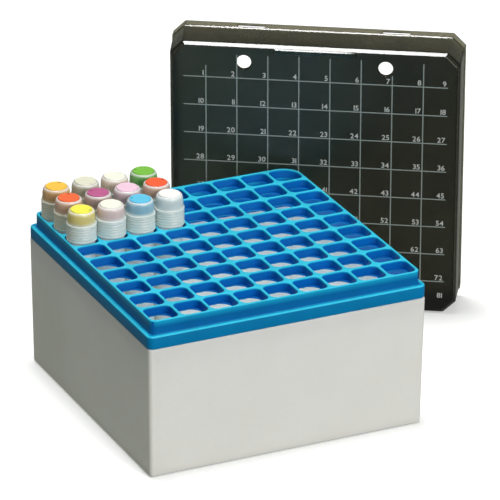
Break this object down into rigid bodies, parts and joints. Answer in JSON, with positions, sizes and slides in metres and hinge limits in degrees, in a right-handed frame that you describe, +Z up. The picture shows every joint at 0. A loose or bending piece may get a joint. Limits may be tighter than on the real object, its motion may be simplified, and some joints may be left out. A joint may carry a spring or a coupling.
{
  "type": "cryogenic storage box",
  "caption": "Square storage box with an opaque base, a lift-out tray of round-bottomed square cells, a smoked lid stood behind it, and screw-cap vials in one corner.",
  "frame": {"origin": "centre of the base's underside", "axes": "+Z up; +X along the front face; +Y from the front face towards the back, where the vials and the lid stand"},
  "size_m": [0.2097, 0.1841, 0.1341],
  "materials": {
    "base_plastic": "satin moulded",
    "tray_plastic": "semi-gloss moulded",
    "lid_plastic": "smoked, polished",
    "vial_plastic": "translucent natural",
    "cap_plastic": "translucent natural",
    "seal_rubber": "matte",
    "insert_01": "satin",
    "insert_02": "satin",
    "insert_03": "satin",
    "insert_04": "satin",
    "insert_05": "satin",
    "insert_06": "satin",
    "insert_07": "satin",
    "insert_08": "satin",
    "insert_09": "satin",
    "insert_10": "satin",
    "insert_11": "satin",
    "insert_12": "satin"
  },
  "bodies": {
    "base": {"base_box": "base_plastic"},
    "tray": {"grid_tray": "tray_plastic"},
    "lid": {"clear_lid": "lid_plastic"},
    "vial_01": {"vial_01_tube": "vial_plastic"},
    "vial_01_seal": {"vial_01_seal": "seal_rubber"},
    "vial_01_cap": {"vial_01_cap": "cap_plastic", "vial_01_insert": "insert_01"},
    "vial_02": {"vial_02_tube": "vial_plastic"},
    "vial_02_seal": {"vial_02_seal": "seal_rubber"},
    "vial_02_cap": {"vial_02_cap": "cap_plastic", "vial_02_insert": "insert_02"},
    "vial_03": {"vial_03_tube": "vial_plastic"},
    "vial_03_seal": {"vial_03_seal": "seal_rubber"},
    "vial_03_cap": {"vial_03_cap": "cap_plastic", "vial_03_insert": "insert_03"},
    "vial_04": {"vial_04_tube": "vial_plastic"},
    "vial_04_seal": {"vial_04_seal": "seal_rubber"},
    "vial_04_cap": {"vial_04_cap": "cap_plastic", "vial_04_insert": "insert_04"},
    "vial_05": {"vial_05_tube": "vial_plastic"},
    "vial_05_seal": {"vial_05_seal": "seal_rubber"},
    "vial_05_cap": {"vial_05_cap": "cap_plastic", "vial_05_insert": "insert_05"},
    "vial_06": {"vial_06_tube": "vial_plastic"},
    "vial_06_seal": {"vial_06_seal": "seal_rubber"},
    "vial_06_cap": {"vial_06_cap": "cap_plastic", "vial_06_insert": "insert_06"},
    "vial_07": {"vial_07_tube": "vial_plastic"},
    "vial_07_seal": {"vial_07_seal": "seal_rubber"},
    "vial_07_cap": {"vial_07_cap": "cap_plastic", "vial_07_insert": "insert_07"},
    "vial_08": {"vial_08_tube": "vial_plastic"},
    "vial_08_seal": {"vial_08_seal": "seal_rubber"},
    "vial_08_cap": {"vial_08_cap": "cap_plastic", "vial_08_insert": "insert_08"},
    "vial_09": {"vial_09_tube": "vial_plastic"},
    "vial_09_seal": {"vial_09_seal": "seal_rubber"},
    "vial_09_cap": {"vial_09_cap": "cap_plastic", "vial_09_insert": "insert_09"},
    "vial_10": {"vial_10_tube": "vial_plastic"},
    "vial_10_seal": {"vial_10_seal": "seal_rubber"},
    "vial_10_cap": {"vial_10_cap": "cap_plastic", "vial_10_insert": "insert_10"},
    "vial_11": {"vial_11_tube": "vial_plastic"},
    "vial_11_seal": {"vial_11_seal": "seal_rubber"},
    "vial_11_cap": {"vial_11_cap": "cap_plastic", "vial_11_insert": "insert_11"},
    "vial_12": {"vial_12_tube": "vial_plastic"},
    "vial_12_seal": {"vial_12_seal": "seal_rubber"},
    "vial_12_cap": {"vial_12_cap": "cap_plastic", "vial_12_insert": "insert_12"}
  },
  "joints": [
    {"name": "tray_lift", "type": "slide", "parent": "base", "child": "tray", "axis": [0, -0.0757, 0.9971], "range_m": [0, 0.1]},
    {"name": "lid_lift", "type": "slide", "parent": "base", "child": "lid", "axis": [0, 0, 1], "range_m": [0, 0.12]},
    {"name": "vial_01_lift", "type": "slide", "parent": "tray", "child": "vial_01", "axis": [0, 0, 1], "range_m": [0, 0.09]},
    {"name": "vial_01_cap_rise", "type": "slide", "parent": "vial_01", "child": "vial_01_seal", "axis": [0, 0, 1], "range_m": [0, 0.0045]},
    {"name": "vial_01_cap_turn", "type": "hinge", "parent": "vial_01_seal", "child": "vial_01_cap", "pos_m": [-0.0564, 0.0564, 0.08], "axis": [0, 0, 1], "range_deg": [0, 550]},
    {"name": "vial_02_lift", "type": "slide", "parent": "tray", "child": "vial_02", "axis": [0, 0, 1], "range_m": [0, 0.09]},
    {"name": "vial_02_cap_rise", "type": "slide", "parent": "vial_02", "child": "vial_02_seal", "axis": [0, 0, 1], "range_m": [0, 0.0045]},
    {"name": "vial_02_cap_turn", "type": "hinge", "parent": "vial_02_seal", "child": "vial_02_cap", "pos_m": [-0.0423, 0.0564, 0.08], "axis": [0, 0, 1], "range_deg": [0, 550]},
    {"name": "vial_03_lift", "type": "slide", "parent": "tray", "child": "vial_03", "axis": [0, 0, 1], "range_m": [0, 0.09]},
    {"name": "vial_03_cap_rise", "type": "slide", "parent": "vial_03", "child": "vial_03_seal", "axis": [0, 0, 1], "range_m": [0, 0.0045]},
    {"name": "vial_03_cap_turn", "type": "hinge", "parent": "vial_03_seal", "child": "vial_03_cap", "pos_m": [-0.0282, 0.0564, 0.08], "axis": [0, 0, 1], "range_deg": [0, 550]},
    {"name": "vial_04_lift", "type": "slide", "parent": "tray", "child": "vial_04", "axis": [0, 0, 1], "range_m": [0, 0.09]},
    {"name": "vial_04_cap_rise", "type": "slide", "parent": "vial_04", "child": "vial_04_seal", "axis": [0, 0, 1], "range_m": [0, 0.0045]},
    {"name": "vial_04_cap_turn", "type": "hinge", "parent": "vial_04_seal", "child": "vial_04_cap", "pos_m": [-0.0141, 0.0564, 0.08], "axis": [0, 0, 1], "range_deg": [0, 550]},
    {"name": "vial_05_lift", "type": "slide", "parent": "tray", "child": "vial_05", "axis": [0, 0, 1], "range_m": [0, 0.09]},
    {"name": "vial_05_cap_rise", "type": "slide", "parent": "vial_05", "child": "vial_05_seal", "axis": [0, 0, 1], "range_m": [0, 0.0045]},
    {"name": "vial_05_cap_turn", "type": "hinge", "parent": "vial_05_seal", "child": "vial_05_cap", "pos_m": [-0.0564, 0.0423, 0.08], "axis": [0, 0, 1], "range_deg": [0, 550]},
    {"name": "vial_06_lift", "type": "slide", "parent": "tray", "child": "vial_06", "axis": [0, 0, 1], "range_m": [0, 0.09]},
    {"name": "vial_06_cap_rise", "type": "slide", "parent": "vial_06", "child": "vial_06_seal", "axis": [0, 0, 1], "range_m": [0, 0.0045]},
    {"name": "vial_06_cap_turn", "type": "hinge", "parent": "vial_06_seal", "child": "vial_06_cap", "pos_m": [-0.0423, 0.0423, 0.08], "axis": [0, 0, 1], "range_deg": [0, 550]},
    {"name": "vial_07_lift", "type": "slide", "parent": "tray", "child": "vial_07", "axis": [0, 0, 1], "range_m": [0, 0.09]},
    {"name": "vial_07_cap_rise", "type": "slide", "parent": "vial_07", "child": "vial_07_seal", "axis": [0, 0, 1], "range_m": [0, 0.0045]},
    {"name": "vial_07_cap_turn", "type": "hinge", "parent": "vial_07_seal", "child": "vial_07_cap", "pos_m": [-0.0282, 0.0423, 0.08], "axis": [0, 0, 1], "range_deg": [0, 550]},
    {"name": "vial_08_lift", "type": "slide", "parent": "tray", "child": "vial_08", "axis": [0, 0, 1], "range_m": [0, 0.09]},
    {"name": "vial_08_cap_rise", "type": "slide", "parent": "vial_08", "child": "vial_08_seal", "axis": [0, 0, 1], "range_m": [0, 0.0045]},
    {"name": "vial_08_cap_turn", "type": "hinge", "parent": "vial_08_seal", "child": "vial_08_cap", "pos_m": [-0.0141, 0.0423, 0.08], "axis": [0, 0, 1], "range_deg": [0, 550]},
    {"name": "vial_09_lift", "type": "slide", "parent": "tray", "child": "vial_09", "axis": [0, 0, 1], "range_m": [0, 0.09]},
    {"name": "vial_09_cap_rise", "type": "slide", "parent": "vial_09", "child": "vial_09_seal", "axis": [0, 0, 1], "range_m": [0, 0.0045]},
    {"name": "vial_09_cap_turn", "type": "hinge", "parent": "vial_09_seal", "child": "vial_09_cap", "pos_m": [-0.0564, 0.0282, 0.08], "axis": [0, 0, 1], "range_deg": [0, 550]},
    {"name": "vial_10_lift", "type": "slide", "parent": "tray", "child": "vial_10", "axis": [0, 0, 1], "range_m": [0, 0.09]},
    {"name": "vial_10_cap_rise", "type": "slide", "parent": "vial_10", "child": "vial_10_seal", "axis": [0, 0, 1], "range_m": [0, 0.0045]},
    {"name": "vial_10_cap_turn", "type": "hinge", "parent": "vial_10_seal", "child": "vial_10_cap", "pos_m": [-0.0423, 0.0282, 0.08], "axis": [0, 0, 1], "range_deg": [0, 550]},
    {"name": "vial_11_lift", "type": "slide", "parent": "tray", "child": "vial_11", "axis": [0, 0, 1], "range_m": [0, 0.09]},
    {"name": "vial_11_cap_rise", "type": "slide", "parent": "vial_11", "child": "vial_11_seal", "axis": [0, 0, 1], "range_m": [0, 0.0045]},
    {"name": "vial_11_cap_turn", "type": "hinge", "parent": "vial_11_seal", "child": "vial_11_cap", "pos_m": [-0.0282, 0.0282, 0.08], "axis": [0, 0, 1], "range_deg": [0, 550]},
    {"name": "vial_12_lift", "type": "slide", "parent": "tray", "child": "vial_12", "axis": [0, 0, 1], "range_m": [0, 0.09]},
    {"name": "vial_12_cap_rise", "type": "slide", "parent": "vial_12", "child": "vial_12_seal", "axis": [0, 0, 1], "range_m": [0, 0.0045]},
    {"name": "vial_12_cap_turn", "type": "hinge", "parent": "vial_12_seal", "child": "vial_12_cap", "pos_m": [-0.0141, 0.0282, 0.08], "axis": [0, 0, 1], "range_deg": [0, 550]}
  ],
  "couplings": [
    {"joint": "vial_01_cap_turn", "follows": "vial_01_cap_rise", "rad_per_m": 2094.4},
    {"joint": "vial_02_cap_turn", "follows": "vial_02_cap_rise", "rad_per_m": 2094.4},
    {"joint": "vial_03_cap_turn", "follows": "vial_03_cap_rise", "rad_per_m": 2094.4},
    {"joint": "vial_04_cap_turn", "follows": "vial_04_cap_rise", "rad_per_m": 2094.4},
    {"joint": "vial_05_cap_turn", "follows": "vial_05_cap_rise", "rad_per_m": 2094.4},
    {"joint": "vial_06_cap_turn", "follows": "vial_06_cap_rise", "rad_per_m": 2094.4},
    {"joint": "vial_07_cap_turn", "follows": "vial_07_cap_rise", "rad_per_m": 2094.4},
    {"joint": "vial_08_cap_turn", "follows": "vial_08_cap_rise", "rad_per_m": 2094.4},
    {"joint": "vial_09_cap_turn", "follows": "vial_09_cap_rise", "rad_per_m": 2094.4},
    {"joint": "vial_10_cap_turn", "follows": "vial_10_cap_rise", "rad_per_m": 2094.4},
    {"joint": "vial_11_cap_turn", "follows": "vial_11_cap_rise", "rad_per_m": 2094.4},
    {"joint": "vial_12_cap_turn", "follows": "vial_12_cap_rise", "rad_per_m": 2094.4}
  ]
}
